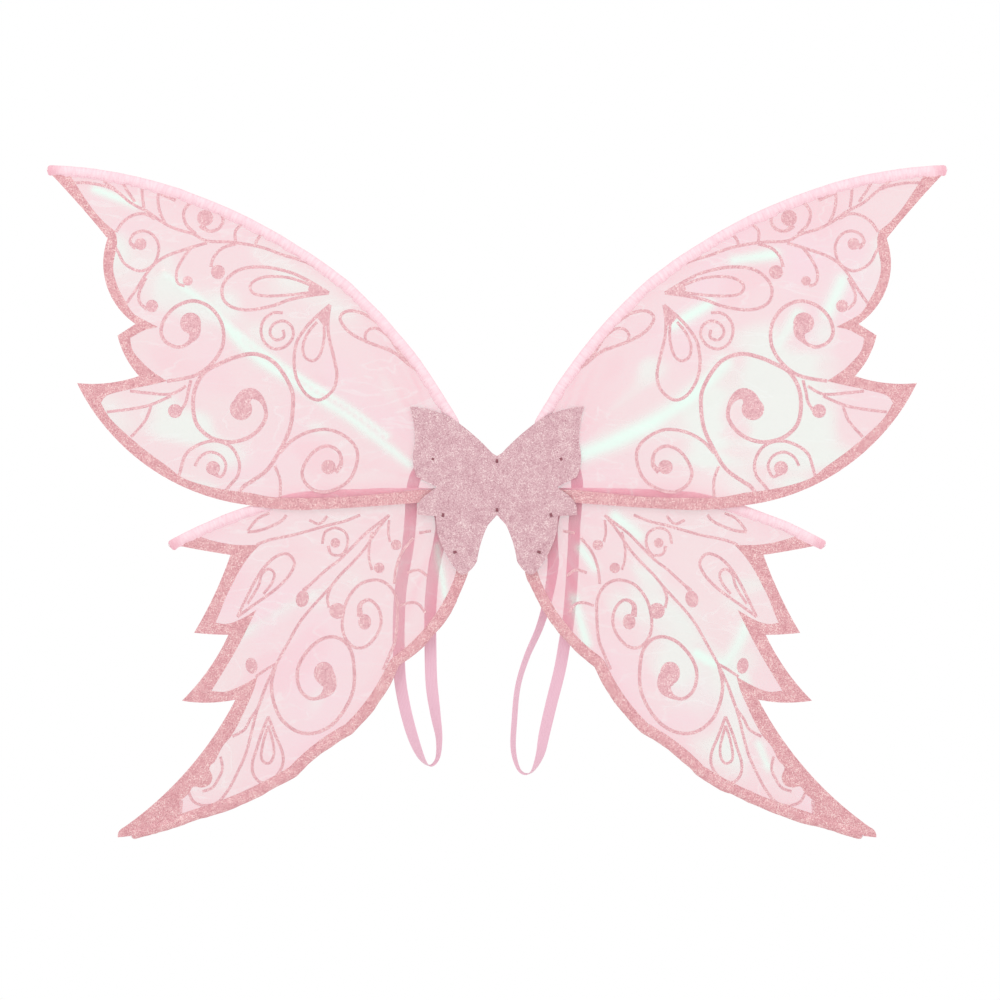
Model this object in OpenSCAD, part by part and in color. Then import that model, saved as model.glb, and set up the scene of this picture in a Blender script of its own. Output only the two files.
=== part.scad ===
// Fairy wings worn on the back: four film wings stretched on covered wires and joined by a
// glitter patch, which folds along two upright lines, with an elastic arm loop sewn behind each side.
// X runs to the right of someone looking at the front, Y to the wearer's back, and Z up.
// The origin is the middle of the rear face of the patch's centre strip.

/* [Wings] */
// Span from tip to tip
span = 900; // [850:10:950]
// Thickness of the film
film_t = 0.3; // [0.2:0.05:0.4]
// Width of the glitter border printed along the outer edges
border_w = 12; // [8:1:14]
// Thickness of the glitter print
print_t = 0.15; // [0.1:0.05:0.2]

/* [Wires and sleeves] */
// Diameter of the steel wires
wire_d = 2; // [1.6:0.1:2.2]
// Width of the fabric sleeves, seen from the front
sleeve_w = 8; // [7:0.5:9]
// Depth of the fabric sleeves, front to back
sleeve_d = 4.2; // [4:0.1:4.4]
// Thickness of the sleeve fabric
sleeve_wall = 0.6; // [0.4:0.1:0.6]
// Length of the plastic cap on the free end of a wire
cap_len = 8; // [5:1:12]

/* [Patch] */
// Thickness of each of the patch's two layers
patch_t = 1.4; // [1:0.1:1.8]
// Distance of the fold lines from the middle
fold_x = 15; // [14.5:0.5:17]
// Slack left beside a fold line so that the layers clear each other
fold_gap = 0.4; // [0.4:0.1:0.6]
// Clear depth between a sleeve and the layer beside it
layer_gap = 0.2; // [0.1:0.1:0.4]

/* [Arm loops] */
// Width of the elastic
strap_w = 12; // [10:1:13]
// Thickness of the elastic
strap_t = 1.2; // [0.8:0.1:1.4]
// Distance that the elastic stands behind the patch
strap_stand = 7.2; // [7:0.1:9]

/* [Hidden] */

// Outlines are drawn for a span of 900 and scaled to the one asked for
k = span / 900;

// Depths of the layers, from the rear face forwards
lower_y = -(patch_t + layer_gap + sleeve_d / 2);
upper_y = lower_y - sleeve_d - 0.5;
front_y = upper_y - sleeve_d / 2 - layer_gap;
core_d = -front_y - patch_t;

// Half widths of the centre strips; the rear one is narrower because the wings also fold forwards
front_half = fold_x - 1.0;
back_half = fold_x - 3.8;
lobe_start = fold_x + fold_gap;

// Colours
pink_film = [0.94, 0.85, 0.87, 0.6];
rose_print = [0.88, 0.67, 0.68];
rose_patch = [0.87, 0.72, 0.745];
pink_fabric = [0.98, 0.87, 0.90];
steel = [0.62, 0.63, 0.65];
pink_elastic = [0.95, 0.80, 0.84];
pale_board = [0.93, 0.90, 0.88];
dark_thread = [0.45, 0.20, 0.25];

// Wall of a wire's end cap, and how far it sits inside the sleeve's end
cap_wall = 0.4;
cap_end = 0.4;

// Number of straight steps in each arc of an outline, and of sides round a sleeve and a wire
arc_steps = 8;
longest_step = 22;
sleeve_sides = 10;
wire_sides = 8;

// The outline of a wing goes round against the clock, seen from the front. Each entry is
// [x, z, bulge]: an arc runs from it to the next point and stands out from the chord by the bulge.
root_x = 30;
upper_outer_edge = [
    [82, -17, 0.5], [190, -24, 1.5], [250, -19, 26.5],
    [420, 103, -3.5], [358, 110, 3], [379.5, 150.5, 0], [361.5, 162, 15.5],
    [389.5, 247.5, -1], [447, 313, 0], [450, 317, 0]
];
leading_edge = [[450, 321, 6.5], [300, 291, 6.5], [150, 206, 8], [36.5, 62, 0]];

tail_edge = [
    [22, -58, 15], [98, -181, 4], [145, -248, -3], [200, -290, 3.7],
    [300, -335, 0.6], [366, -354.5, 0]
];
lower_outer_edge = [
    [380, -352, 2], [374, -342, -10.3], [262, -214, 2.5], [315.5, -215, -3.6],
    [269, -149, 0.5], [303.5, -147, -2.2], [267, -69, 0.5], [325, -58.5, 0]
];
middle_edge = [[331, -56, 2.2], [250, -20.5, 1], [197, -6, 1.5], [67, -2, 0], [34, -3, 0]];

// One half of the butterfly patch, from the bottom notch round to the top notch
patch_edge = [
    [0, -29, 0], [9, -39, -1.5], [20, -75, 1], [30, -87, 1.5], [38, -87, 3], [60, -44, 0], [61, -30, 0],
    [80, -29, 3], [71, -9, 0], [60, -1, 0], [80, 9, 3], [82, 42, -1.5], [87, 79.5, 2.5], [44, 67, 1.5],
    [5, 33, 0], [0, 30, 0]
];

// Routes of the elastic, from its upper sewn end round to its lower one: [x, y, z, twist], where a
// twist of 0 shows its face to the front and 90 shows its edge. Points are for the outward side.
loop_top = [72, strap_stand, 48];
loop_foot = [58, strap_stand, -26];
left_loop_route = [
    [71.8, 7.2, 46.8, 0], [70.5, 7.2, 40, 0], [72, 7.4, 31, 0], [76.5, 7.6, 20, 0], [83, 8, 7, 0],
    [86, 8, -10, 0], [87, 8.2, -32, 0], [90, 8.5, -62, 0], [97, 9, -104, 0], [99, 9, -145, 0],
    [98, 9, -190, 0], [93, 9.5, -222, 10], [85, 10.5, -252, 25], [76, 12, -274, 55],
    [67.5, 13, -282, 90], [60, 12.5, -274, 110], [58.5, 11, -254, 125], [62, 10, -230, 150],
    [66, 9, -198, 180], [67, 8.5, -160, 180], [67, 8.5, -122, 180], [64, 8, -86, 180],
    [58.5, 7.6, -58, 180], [56, 7.3, -43, 180], [56.5, 7.2, -34.5, 180], [57.8, 7.2, -27.2, 180]
];
right_loop_route = [
    [71.8, 7.2, 46.8, 0], [70.5, 7.2, 40, 0], [72, 7.4, 31, 0], [76.5, 7.6, 20, 0], [80.5, 8, 5, 0],
    [80, 8, -14, 0], [78, 8.2, -38, 0], [77, 8.5, -66, 0], [73, 9, -125, 0], [68, 9, -158, 0],
    [63, 9, -186, 0], [55, 9.5, -218, 10], [48, 10.5, -248, 20], [43, 12, -272, 45],
    [34, 13, -289, 80], [23, 13, -287, 100], [16.5, 11.5, -266, 115], [17.5, 11, -236, 118],
    [21, 11, -202, 118], [30, 11, -172, 122], [43, 10.5, -142, 130], [51.5, 10, -112, 140],
    [56.5, 9, -80, 160], [55.4, 8.2, -58, 174], [55.2, 7.4, -43, 180], [56.4, 7.2, -34.5, 180],
    [57.8, 7.2, -27.2, 180]
];
loop_steps = 3;
tab_len = 13;

// ---- Outline arithmetic ----

// A point at share t along the arc from a to b that stands out by bulge to the right of its travel
function arc_point(a, b, bulge, t) =
    let (
        half = 2 * atan(2 * bulge / norm(b - a)),
        turn = (2 * t - 1) * half,
        along = abs(bulge) < 0.01 ? t : 0.5 + sin(turn) / sin(half) / 2,
        out = abs(bulge) < 0.01 ? 0 : (cos(turn) - cos(half)) / sin(half) / 2
    )
    [a[0] + (b[0] - a[0]) * along + (b[1] - a[1]) * out, a[1] + (b[1] - a[1]) * along - (b[0] - a[0]) * out];

// All points of an edge, with its arcs divided into steps and its size scaled to the span
function edge_points(edge) =
    let (last = len(edge) - 1)
    concat(
        [
            for (i = [0:last - 1])
            let (steps = abs(edge[i][2]) < 0.6 ? 1 : arc_steps)
            for (j = [0:steps - 1])
            k * arc_point(corner(edge[i]), corner(edge[i + 1]), edge[i][2], j / steps)
        ],
        [k * corner(edge[last])]
    );

function corner(entry) = [entry[0], entry[1]];

// The direction of travel at point i of a list
function heading(points, i) =
    let (
        before = points[max(i - 1, 0)],
        after = points[min(i + 1, len(points) - 1)]
    )
    (after - before) / norm(after - before);

// A list of points moved to the left of its travel, which is into the wing
function moved_in(points, distance) = [
    for (i = [0:len(points) - 1])
    let (way = heading(points, i))
    points[i] + distance * [-way[1], way[0]]
];

// The same list with long straight stretches divided, so that every step is short
function divided(points, step) = concat(
    [
        for (i = [0:len(points) - 2])
        let (count = ceil(norm(points[i + 1] - points[i]) / step))
        for (j = [0:count - 1])
        points[i] + (points[i + 1] - points[i]) * j / count
    ],
    [points[len(points) - 1]]
);

// A smooth curve through every entry of a route
function smooth(route, steps) = concat(
    [
        for (i = [0:len(route) - 2])
        for (j = [0:steps - 1])
        let (
            t = j / steps,
            p0 = route[max(i - 1, 0)],
            p1 = route[i],
            p2 = route[i + 1],
            p3 = route[min(i + 2, len(route) - 1)]
        )
        p1 + t / 2 * (p2 - p0) + t * t / 2 * (2 * p0 - 5 * p1 + 4 * p2 - p3)
            + t * t * t / 2 * (3 * p1 - p0 - 3 * p2 + p3)
    ],
    [route[len(route) - 1]]
);

// Centrelines of the three wires, from the free end to the bound end
leading_line = moved_in(edge_points(leading_edge), sleeve_w / 2);
middle_line = moved_in(edge_points(middle_edge), sleeve_w / 2);
tail_line_out = moved_in(edge_points(tail_edge), sleeve_w / 2);
tail_line = [for (i = [len(tail_line_out) - 1:-1:0]) tail_line_out[i]];

leading_root = [[34, 42], [28, 24], [24, 12]];
middle_root = [[30, -5], [23, -2]];
tail_root = [[24, -36], [23, -10]];

// ---- Swept solids ----

// One oval ring of points round a place on a flat route, at depth y
function oval_ring(place, way, y, wide, deep, sides) = [
    for (s = [0:sides - 1])
    let (
        a = 360 * s / sides,
        across = wide / 2 * cos(a)
    )
    [place[0] - way[1] * across, y + deep / 2 * sin(a), place[1] + way[0] * across]
];

// Faces of the skin through a stack of rings, starting at point number first
function skin_faces(first, rings, sides) = [
    for (r = [0:rings - 2])
    for (s = [0:sides - 1])
    let (
        a = first + r * sides + s,
        b = first + r * sides + (s + 1) % sides
    )
    for (half = [0:1])
    half == 0 ? [a, b, b + sides] : [a, b + sides, a + sides]
];

function turned_over(faces) = [for (f = faces) [for (i = [len(f) - 1:-1:0]) f[i]]];

// A solid round rod along a flat route
module rod(line, y, across, sides) {
    rings = len(line);
    points = [for (i = [0:rings - 1]) each oval_ring(line[i], heading(line, i), y, across, across, sides)];
    start_cap = [[for (s = [sides - 1:-1:0]) s]];
    end_cap = [[for (s = [0:sides - 1]) (rings - 1) * sides + s]];
    polyhedron(points, concat(skin_faces(0, rings, sides), start_cap, end_cap));
}

// A hollow oval casing along a flat route
module casing(line, y) {
    rings = len(line);
    sides = sleeve_sides;
    inner_w = sleeve_w - 2 * sleeve_wall;
    inner_d = sleeve_d - 2 * sleeve_wall;
    outer = [for (i = [0:rings - 1]) each oval_ring(line[i], heading(line, i), y, sleeve_w, sleeve_d, sides)];
    inner = [for (i = [0:rings - 1]) each oval_ring(line[i], heading(line, i), y, inner_w, inner_d, sides)];
    half_count = rings * sides;
    rims = [
        for (rim = [0, rings - 1])
        for (s = [0:sides - 1])
        let (
            a = rim * sides + s,
            b = rim * sides + (s + 1) % sides
        )
        for (half = [0:1])
        let (face = half == 0 ? [a, a + half_count, b + half_count] : [a, b + half_count, b])
        rim == 0 ? face : [face[2], face[1], face[0]]
    ];
    skins = concat(skin_faces(0, rings, sides), turned_over(skin_faces(half_count, rings, sides)), rims);
    polyhedron(concat(outer, inner), skins);
}

// A line with its first point moved along it, so that a wire stops short of its sleeve's end
function shortened(line, distance) = [
    for (i = [0:len(line) - 1])
    line[i] + (i == 0 ? distance : 0) * heading(line, 0)
];

// A flat plate standing in the X-Z plane, with its rear face at depth y
module plate(y, thickness) {
    translate([0, y, 0]) rotate([90, 0, 0]) linear_extrude(height = thickness) children();
}

module mirrored() {
    mirror([1, 0, 0]) children();
}

// ---- Wing outlines ----

module upper_outline() {
    root = k * [[40, 46], [root_x, 18], [root_x, -13]];
    polygon(concat(root, edge_points(upper_outer_edge), edge_points(leading_edge)));
}

module lower_outline() {
    polygon(concat(edge_points(tail_edge), edge_points(lower_outer_edge), edge_points(middle_edge)));
}

// A list of points carried on straight past both its ends
function run_on(points, distance) =
    let (last = len(points) - 1)
    concat(
        [points[0] - distance * heading(points, 0)],
        points,
        [points[last] + distance * heading(points, last)]
    );

// The strip along a wired edge that the sleeve covers
module covered_strip(edge, depth) {
    line = run_on(edge_points(edge), 6);
    inner = moved_in(line, depth);
    outer = moved_in(line, -6);
    polygon(concat(outer, [for (i = [len(inner) - 1:-1:0]) inner[i]]));
}

// The film ends inside the sleeves, short of the wires
module film_shape(upper) {
    hem = sleeve_w / 2 + wire_d / 2 + 0.6;
    difference() {
        if (upper) upper_outline();
        else lower_outline();
        if (upper) covered_strip(leading_edge, hem);
        if (!upper) covered_strip(middle_edge, hem);
        if (!upper) covered_strip(tail_edge, hem);
        translate([-10, -500]) square([root_x * k + 10, 1000]);
    }
}

// The printed border: a band inside the scalloped edge, stopping at the sleeves and at the patch
module border_shape(upper) {
    keep = sleeve_w + 0.3;
    difference() {
        if (upper) upper_outline();
        else lower_outline();
        offset(delta = -border_w) if (upper) upper_outline();
        else lower_outline();
        if (upper) covered_strip(leading_edge, keep);
        if (!upper) covered_strip(middle_edge, keep);
        if (!upper) covered_strip(tail_edge, keep);
        translate([-10, -500]) square([k * (upper ? 84 : 236) + 10, 1000]);
    }
}

// ---- Patch ----

module half_patch() {
    polygon(edge_points(patch_edge));
}

module whole_patch() {
    half_patch();
    mirror([1, 0]) half_patch();
}

module centre_strip(half) {
    intersection() {
        whole_patch();
        translate([-half, -200]) square([2 * half, 400]);
    }
}

module lobe() {
    intersection() {
        half_patch();
        translate([lobe_start, -200]) square([200, 400]);
    }
}

module front_patch_centre() {
    color(rose_patch) plate(front_y, patch_t) centre_strip(front_half);
}

module back_patch_centre() {
    color(rose_patch) plate(0, patch_t) centre_strip(back_half);
}

// A card that fills the centre strip between its two layers
module centre_stiffener() {
    color(pale_board) plate(-patch_t, core_d) offset(r = 2, $fn = 24) square([16, 40], center = true);
}

// A thread tack: a short bar of stitches on the front, another pulled flush into the rear layer,
// and a thread between them through every layer
module tack(x, z, turn) {
    bar = 4;
    thick = 0.8;
    thread_d = 0.5;
    front = front_y - patch_t;
    translate([x, 0, z]) rotate([0, turn, 0]) {
        translate([-bar / 2, -thick, -thick / 2]) cube([bar, thick, thick]);
        translate([-bar / 2, front - thick, -thick / 2]) cube([bar, thick, thick]);
        translate([0, -thick / 2, 0]) rotate([90, 0, 0]) cylinder(d = thread_d, h = -front, $fn = 16);
    }
}

module centre_stitches() {
    color(dark_thread) {
        tack(0, 25, 90);
        tack(0, -24, 90);
    }
}

module patch_stitches() {
    color(dark_thread) {
        tack(k * 64, k * 27, 60);
        tack(k * 54, k * -29, 75);
        tack(k * 42, k * -66, 20);
    }
}

// Tape wound round the ends of the three wires
module wire_binding() {
    color(pale_board) plate(-patch_t, core_d) translate([k * 18 + 2, -14]) offset(r = 2, $fn = 24) square([6, 32]);
}

// ---- Films and print ----

module upper_film() {
    color(pink_film) plate(upper_y + film_t / 2, film_t) film_shape(true);
}

module lower_film() {
    color(pink_film) plate(lower_y + film_t / 2, film_t) film_shape(false);
}

module upper_glitter() {
    color(rose_print) plate(upper_y - film_t / 2, print_t) border_shape(true);
}

module lower_glitter() {
    color(rose_print) plate(lower_y - film_t / 2, print_t) border_shape(false);
}

// ---- Wires ----

// The whole run of a wire: inside its sleeve from the cap, then bare to the binding
function wire_line(line, root) = divided(concat(shortened(line, cap_end + 1), k * root), longest_step);

module leading_wire() {
    color(steel) rod(wire_line(leading_line, leading_root), upper_y, wire_d, wire_sides);
}

module middle_wire() {
    color(steel) rod(wire_line(middle_line, middle_root), lower_y, wire_d, wire_sides);
}

module tail_wire() {
    color(steel) rod(wire_line(tail_line, tail_root), lower_y, wire_d, wire_sides);
}

module leading_sleeve() {
    color(pink_fabric) casing(divided(leading_line, longest_step), upper_y);
}

module middle_sleeve() {
    color(pink_fabric) casing(divided(middle_line, longest_step), lower_y);
}

module tail_sleeve() {
    color(pink_fabric) casing(divided(tail_line, longest_step), lower_y);
}

// A plastic cap pushed over the free end of a wire, inside the sleeve
module wire_cap(line, y) {
    way = heading(line, 0);
    turn = atan2(way[0], way[1]);
    translate([line[0][0], y, line[0][1]]) rotate([0, turn, 0]) difference() {
        translate([0, 0, cap_end]) cylinder(d = wire_d + 2 * cap_wall, h = cap_len, $fn = 24);
        translate([0, 0, cap_end + 1]) cylinder(d = wire_d, h = cap_len, $fn = 24);
    }
}

module wire_caps() {
    color(pale_board) {
        wire_cap(leading_line, upper_y);
        wire_cap(middle_line, lower_y);
        wire_cap(tail_line, lower_y);
    }
}

// ---- Arm loops ----

// The sewn end of the elastic: flat on the patch, then rising to where the loop starts
module strap_tab(place, turn) {
    rise = 9;
    gap = 0.4;
    half = strap_t / 2;
    stand = strap_stand;
    translate([k * place[0], 0, k * place[2]]) rotate([0, turn, 0]) translate([-strap_w / 2, 0, gap])
        rotate([90, 0, 90]) linear_extrude(height = strap_w)
        polygon([
            [stand - half, 0], [stand + half, 0], [stand + half, 2], [strap_t, rise + 2],
            [strap_t, rise + tab_len], [0, rise + tab_len], [0, rise + 1.4], [stand - half, 1.4]
        ]);
}

module strap_ends() {
    lean = atan2(loop_top[0] - loop_foot[0], loop_top[2] - loop_foot[2]);
    color(pink_elastic) {
        strap_tab(loop_top, lean);
        strap_tab(loop_foot, lean);
    }
}

// The corners of the elastic's section at one place on its route
function strap_ring(place, way, twist) =
    let (
        side = [-way[1], 0, way[0]],
        depth = [0, 1, 0],
        across = cos(twist) * side + sin(twist) * depth,
        through = cos(twist) * depth - sin(twist) * side
    )
    [
        for (c = [[-1, -1], [1, -1], [1, 1], [-1, 1]])
        place + c[0] * strap_w / 2 * across + c[1] * strap_t / 2 * through
    ];

module arm_loop(route) {
    path = smooth(route, loop_steps);
    rings = len(path);
    flat = [for (p = path) [p[0], p[2]]];
    points = [
        for (i = [0:rings - 1])
        each strap_ring([k * path[i][0], path[i][1], k * path[i][2]], heading(flat, i), path[i][3])
    ];
    start_cap = [[3, 2, 1, 0]];
    end_cap = [[for (s = [0:3]) (rings - 1) * 4 + s]];
    color(pink_elastic) polyhedron(points, concat(skin_faces(0, rings, 4), start_cap, end_cap));
}

front_patch_centre();
back_patch_centre();
centre_stiffener();
centre_stitches();
color(rose_patch) plate(front_y, patch_t) lobe();  // right_front_patch
mirrored() color(rose_patch) plate(front_y, patch_t) lobe();  // left_front_patch
color(rose_patch) plate(0, patch_t) lobe();  // right_back_patch
mirrored() color(rose_patch) plate(0, patch_t) lobe();  // left_back_patch
upper_film();  // right_upper_film
mirrored() upper_film();  // left_upper_film
lower_film();  // right_lower_film
mirrored() lower_film();  // left_lower_film
upper_glitter();  // right_upper_glitter
mirrored() upper_glitter();  // left_upper_glitter
lower_glitter();  // right_lower_glitter
mirrored() lower_glitter();  // left_lower_glitter
leading_wire();  // right_leading_wire
mirrored() leading_wire();  // left_leading_wire
middle_wire();  // right_middle_wire
mirrored() middle_wire();  // left_middle_wire
tail_wire();  // right_tail_wire
mirrored() tail_wire();  // left_tail_wire
leading_sleeve();  // right_leading_sleeve
mirrored() leading_sleeve();  // left_leading_sleeve
middle_sleeve();  // right_middle_sleeve
mirrored() middle_sleeve();  // left_middle_sleeve
tail_sleeve();  // right_tail_sleeve
mirrored() tail_sleeve();  // left_tail_sleeve
wire_caps();  // right_wire_caps
mirrored() wire_caps();  // left_wire_caps
wire_binding();  // right_wire_binding
mirrored() wire_binding();  // left_wire_binding
patch_stitches();  // right_patch_stitches
mirrored() patch_stitches();  // left_patch_stitches
strap_ends();  // right_strap_ends
mirrored() strap_ends();  // left_strap_ends
arm_loop(right_loop_route);  // right_arm_loop
mirrored() arm_loop(left_loop_route);  // left_arm_loop
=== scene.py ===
import bpy
import numpy as np
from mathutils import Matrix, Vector
from mathutils.geometry import delaunay_2d_cdt


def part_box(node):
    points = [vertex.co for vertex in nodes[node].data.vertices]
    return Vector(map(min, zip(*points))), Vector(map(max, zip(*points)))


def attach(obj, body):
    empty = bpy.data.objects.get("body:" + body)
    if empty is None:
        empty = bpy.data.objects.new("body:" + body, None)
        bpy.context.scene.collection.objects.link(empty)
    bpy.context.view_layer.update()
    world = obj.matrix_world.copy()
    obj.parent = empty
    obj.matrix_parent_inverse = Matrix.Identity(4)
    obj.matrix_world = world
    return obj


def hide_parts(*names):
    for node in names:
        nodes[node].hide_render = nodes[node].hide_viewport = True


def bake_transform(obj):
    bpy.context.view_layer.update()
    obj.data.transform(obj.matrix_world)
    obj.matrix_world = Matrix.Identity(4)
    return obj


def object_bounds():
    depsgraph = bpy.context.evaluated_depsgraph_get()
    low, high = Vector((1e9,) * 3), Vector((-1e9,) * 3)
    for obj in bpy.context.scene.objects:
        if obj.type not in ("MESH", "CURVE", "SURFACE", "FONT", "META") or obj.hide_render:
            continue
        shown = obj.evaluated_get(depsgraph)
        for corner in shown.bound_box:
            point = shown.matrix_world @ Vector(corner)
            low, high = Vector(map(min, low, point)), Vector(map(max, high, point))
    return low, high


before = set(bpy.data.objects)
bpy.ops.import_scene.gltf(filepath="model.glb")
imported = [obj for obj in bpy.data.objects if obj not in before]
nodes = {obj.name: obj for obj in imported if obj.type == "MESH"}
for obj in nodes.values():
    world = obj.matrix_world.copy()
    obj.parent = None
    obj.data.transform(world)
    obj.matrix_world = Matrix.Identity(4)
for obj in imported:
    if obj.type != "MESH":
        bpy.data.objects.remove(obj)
cad_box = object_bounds()

# ---- Wires ----
# Six lengths of hard-drawn spring steel wire, one in each covered edge of the wings.
# They are cut straight off the coil, bent to the wing's outline, and bound together at the root.
SIDES = {"right": 1, "left": -1}


def swatch(red, green, blue):
    """A dye-card colour given from 0 to 255, as the linear colour that a shader takes."""
    share = np.array([red, green, blue]) / 255
    linear = np.where(share <= 0.04045, share / 12.92, ((share + 0.055) / 1.055) ** 2.4)
    return (*linear.tolist(), 1.0)


def finish_of(name, **sockets):
    """A new material: its one Principled shader takes each value straight on its own socket."""
    material = bpy.data.materials.new(name)
    material.use_nodes = True
    shader = material.node_tree.nodes["Principled BSDF"]
    for socket, value in sockets.items():
        shader.inputs[socket.replace("_", " ")].default_value = value
    return material


def add(material, kind, inputs=(), **settings):
    """Adds a node to a material. An input is a value to set or another node's output to link."""
    made = material.node_tree.nodes.new("ShaderNode" + kind)
    for setting, value in settings.items():
        setattr(made, setting, value)
    for socket, value in dict(inputs).items():
        if isinstance(value, bpy.types.NodeSocket):
            material.node_tree.links.new(value, made.inputs[socket])
        else:
            made.inputs[socket].default_value = value
    return made


def feed(material, socket, output):
    """Links an output to a socket of the material's Principled shader."""
    shader = material.node_tree.nodes["Principled BSDF"]
    material.node_tree.links.new(output, shader.inputs[socket])


def ramp(material, source, stops):
    """A colour ramp fed by source; stops are (place, colour) pairs from low to high."""
    made = add(material, "ValToRGB", {"Fac": source})
    while len(made.color_ramp.elements) < len(stops):
        made.color_ramp.elements.new(1.0)
    for element, (place, colour) in zip(made.color_ramp.elements, stops):
        element.position, element.color = place, colour
    return made.outputs["Color"]


def place_on(material):
    """The place on the piece, in metres, in the object's own frame."""
    return add(material, "TexCoord").outputs["Object"]


def grain_on(material, scale, detail=2.0, distortion=0.0):
    """Cloudy noise over the piece: scale is how many spots lie along a metre."""
    spots = {"Vector": place_on(material), "Scale": scale, "Detail": detail, "Distortion": distortion}
    return add(material, "TexNoise", spots).outputs["Fac"]


def sums(material, operation, first, second):
    """One sum on two values or outputs, such as ADD or MULTIPLY."""
    return add(material, "Math", {0: first, 1: second}, operation=operation).outputs[0]


def mixed(material, share, first, second):
    """A colour that goes from first to second as share goes from 0 to 1."""
    return add(material, "Mix", {"Factor": share, 6: first, 7: second}, data_type="RGBA").outputs[2]


def spread(material, source, low, high):
    """Stretches an output that runs from 0 to 1 so that it runs from low to high."""
    return add(material, "MapRange", {"Value": source, "To Min": low, "To Max": high}).outputs["Result"]


def roughened(material, low, high, grain):
    """Makes the roughness wander between low and high, over spots of the given size."""
    feed(material, "Roughness", spread(material, grain_on(material, 1 / grain, 3.0), low, high))


def bumped(material, height, depth, strength=1.0):
    """Turns a height output into a bump of that depth in metres."""
    made = add(material, "Bump", {"Height": height, "Distance": depth, "Strength": strength})
    feed(material, "Normal", made.outputs["Normal"])


def drawn_steel():
    """Bright drawn wire: fine die lines along it and a little dulling."""
    steel = finish_of("drawn steel", Metallic=1.0)
    lines = grain_on(steel, 2600.0)
    feed(steel, "Base Color", ramp(steel, lines, [
        (0.3, swatch(158, 160, 163)), (0.7, swatch(205, 206, 208))]))
    roughened(steel, 0.22, 0.45, 0.004)
    bumped(steel, lines, 0.00003)
    return steel


def dress(node, material):
    """Gives a carried-over CAD node its finish."""
    held = nodes[node]
    if not held.material_slots:
        held.data.materials.append(material)
    for each in held.material_slots:
        each.material = material


steel = drawn_steel()
for side in SIDES:
    for wire in ("leading", "middle", "tail"):
        dress(f"{side}_{wire}_wire", steel)


# ---- Wire caps ----
# Small moulded caps of soft white plastic, pushed over the free ends of the wires
# so that the cut steel can't work its way through the cloth.
def moulded_plastic():
    """Soft natural polythene with a faint cloudiness."""
    plastic = finish_of("soft plastic", Subsurface_Weight=0.15, Subsurface_Scale=0.001)
    cloud = grain_on(plastic, 600.0, 3.0)
    feed(plastic, "Base Color", ramp(plastic, cloud, [
        (0.35, swatch(232, 226, 224)), (0.65, swatch(246, 242, 240))]))
    roughened(plastic, 0.38, 0.52, 0.002)
    bumped(plastic, cloud, 0.00004)
    return plastic


plastic = moulded_plastic()
for side in SIDES:
    dress(f"{side}_wire_caps", plastic)

# ---- Covered edges ----
# Casings of thin pink satin, folded over each wire and sewn to the film along an inner flange.
# Each end is gathered shut round the wire's cap. The tail's casing carries the glitter print.
mm = (cad_box[1].x - cad_box[0].x) / 900.8

# Outlines in millimetres from the middle, outwards and up. Each entry is (out, up, bulge):
# an arc runs to the next point and stands out from its chord by the bulge.
leading_edge = [(450, 321, 6.5), (300, 291, 6.5), (150, 206, 8), (36.5, 62, 0)]
middle_edge = [(331, -56, 2.2), (250, -20.5, 1), (197, -6, 1.5), (67, -2, 0), (34, -3, 0)]
tail_edge = [
    (22, -58, 15), (98, -181, 4), (145, -248, -3), (200, -290, 3.7), (300, -335, 0.6), (366, -354.5, 0)
]
sleeve_width = 8.0
sleeve_depth = 4.4
flange = 2.6
casing_sides = 20
closed_end = 3.5
gathered_end = 22


def arcs(entries, count=24):
    """Points of a chain of arcs. At share t of its sweep an arc of half angle h lies sin((2t-1)h)/sin(h)
    along its chord and (cos((2t-1)h)-cos(h))/sin(h) to the right of it, in half chords."""
    chain = []
    t = np.arange(count)[:, None] / count
    for (x0, z0, bulge), (x1, z1, _) in zip(entries, entries[1:]):
        start, chord = np.array([x0, z0]), np.array([x1 - x0, z1 - z0])
        along, out = t, 0 * t
        if bulge:
            half = 2 * np.arctan(2 * bulge / np.hypot(*chord))
            turn = (2 * t - 1) * half
            along = 0.5 + np.sin(turn) / np.sin(half) / 2
            out = (np.cos(turn) - np.cos(half)) / np.sin(half) / 2
        chain.append(start + chord * along + np.array([chord[1], -chord[0]]) * out)
    return np.vstack([*chain, [entries[-1][:2]]])


def run_along(points):
    """Length of a line from its start to each of its points."""
    return np.r_[0, np.cumsum(np.linalg.norm(np.diff(points, axis=0), axis=1))]


def evenly(points, step):
    """The same line with points spaced evenly along it, about a step apart."""
    run = run_along(points)
    stops = np.linspace(0, run[-1], max(2, int(np.ceil(run[-1] / step)) + 1))
    return np.stack([np.interp(stops, run, column) for column in points.T], 1)


def headings(points):
    """Unit direction of travel at each point: the central difference, brought to length one."""
    way = np.gradient(points, axis=0)
    return way / np.linalg.norm(way, axis=1)[:, None]


def left_of(points):
    """Unit direction to the left of a flat line's travel, at each point."""
    way = headings(points)
    return np.stack([-way[:, 1], way[:, 0]], 1)


def moved_in(points, distance):
    """A flat line moved sideways to the left of its travel, which is into the wing."""
    return points + distance * left_of(points)


def eased(value, low, high):
    """0 below low, 1 above high, and the smooth cubic 3t^2-2t^3 between them."""
    t = np.clip((value - low) / (high - low), 0, 1)
    return t * t * (3 - 2 * t)


def noise(u, v, seed):
    """Smooth noise from -1 to 1 over two coordinates: random values on a unit net, blended cubically."""
    table = np.random.default_rng(seed).uniform(-1, 1, (64, 64))
    i, j = np.floor(u).astype(int), np.floor(v).astype(int)
    a, b = eased(u - i, 0, 1), eased(v - j, 0, 1)
    at = lambda p, q: table[p % 64, q % 64]
    low = at(i, j) * (1 - a) + at(i + 1, j) * a
    high = at(i, j + 1) * (1 - a) + at(i + 1, j + 1) * a
    return low * (1 - b) + high * b


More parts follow.
